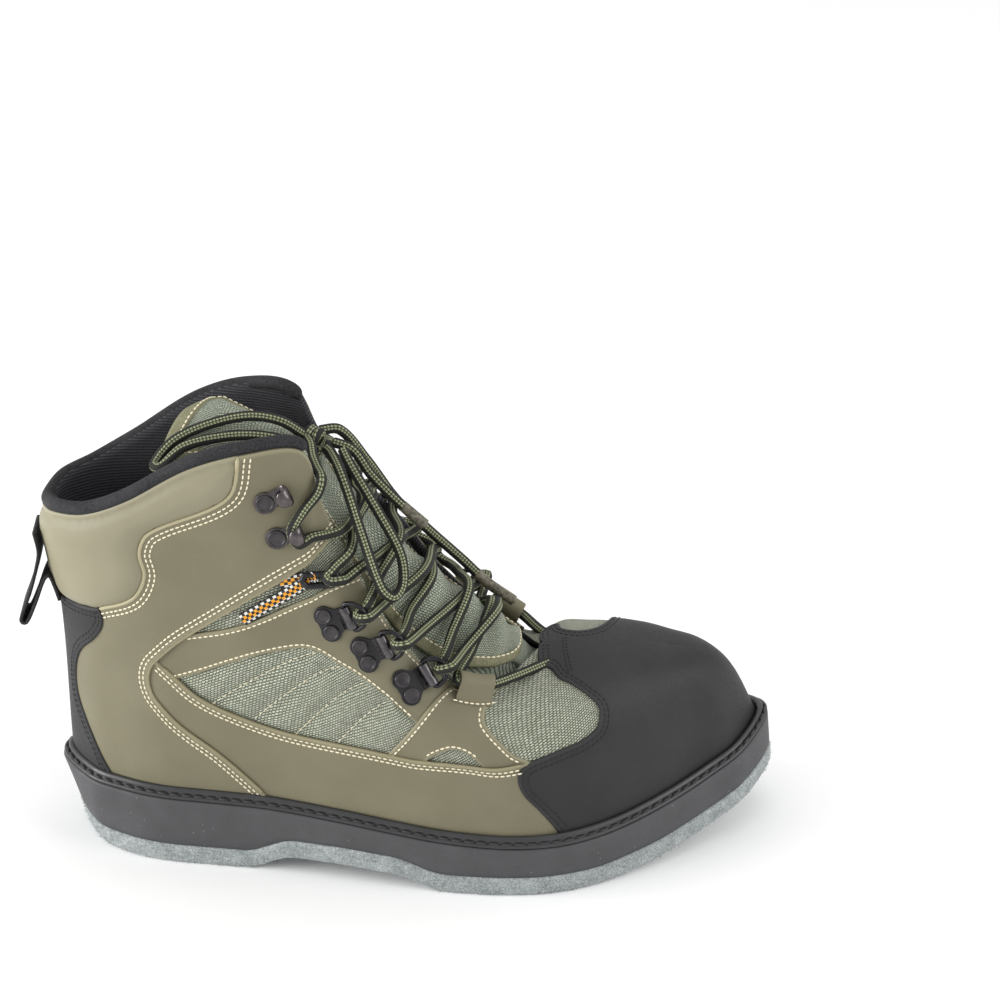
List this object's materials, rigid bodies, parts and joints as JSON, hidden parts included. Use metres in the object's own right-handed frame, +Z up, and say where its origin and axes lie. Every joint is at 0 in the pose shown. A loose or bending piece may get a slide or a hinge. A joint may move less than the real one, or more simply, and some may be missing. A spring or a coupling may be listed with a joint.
{
  "type": "fishing boot",
  "caption": "Right lace-up fishing boot with a felt sole, black toe cap, olive panels over grey-green mesh, D rings, speed hooks and a tied lace.",
  "frame": {"origin": "middle of the base of the box around the boot without its loose lace, on the floor", "axes": "+X from heel to toe, +Y to the inner (medial) side of the right foot, +Z up"},
  "size_m": [0.3374, 0.116, 0.2146],
  "materials": {
    "felt": "matte fuzzy felt",
    "rubber": "matte",
    "insole": "matte",
    "mesh": "woven mesh",
    "olive": "smooth satin",
    "pale_olive": "smooth satin",
    "black_leather": "matte coated",
    "webbing": "woven",
    "gunmetal": "dark satin",
    "lace": "round braid"
  },
  "bodies": {
    "root": {"felt_outsole": "felt", "midsole": "rubber", "insole": "insole", "welt": "rubber", "upper": "mesh", "tongue": "mesh", "collar_pad": "pale_olive", "heel_counter": "black_leather", "toe_cap": "black_leather", "quarter_lateral": "olive", "eyestay_lateral": "olive", "foxing_lateral": "olive", "vamp_panel_lateral": "olive", "webbing_loop_lateral": "webbing", "quarter_medial": "olive", "eyestay_medial": "olive", "foxing_medial": "olive", "vamp_panel_medial": "olive", "webbing_loop_medial": "webbing", "pull_loop": "webbing", "ring_plate_lateral_1": "gunmetal", "d_ring_lateral_1": "gunmetal", "ring_plate_lateral_2": "gunmetal", "d_ring_lateral_2": "gunmetal", "ring_plate_lateral_3": "gunmetal", "d_ring_lateral_3": "gunmetal", "hook_lateral_upper": "gunmetal", "hook_lateral_lower": "gunmetal", "slide_lateral": "gunmetal", "lace_tunnel_lateral": "olive", "ring_plate_medial_1": "gunmetal", "d_ring_medial_1": "gunmetal", "ring_plate_medial_2": "gunmetal", "d_ring_medial_2": "gunmetal", "ring_plate_medial_3": "gunmetal", "d_ring_medial_3": "gunmetal", "hook_medial_upper": "gunmetal", "hook_medial_lower": "gunmetal", "slide_medial": "gunmetal", "lace_tunnel_medial": "olive", "lace_crossing_1": "lace", "lace_crossing_2": "lace", "lace_crossing_3": "lace", "lace_crossing_4": "lace", "lace_crossing_5": "lace", "lace_knot": "lace", "lace_bow_rear": "lace", "lace_bow_front": "lace", "lace_end_long": "lace", "lace_end_short": "lace"}
  },
  "joints": []
}
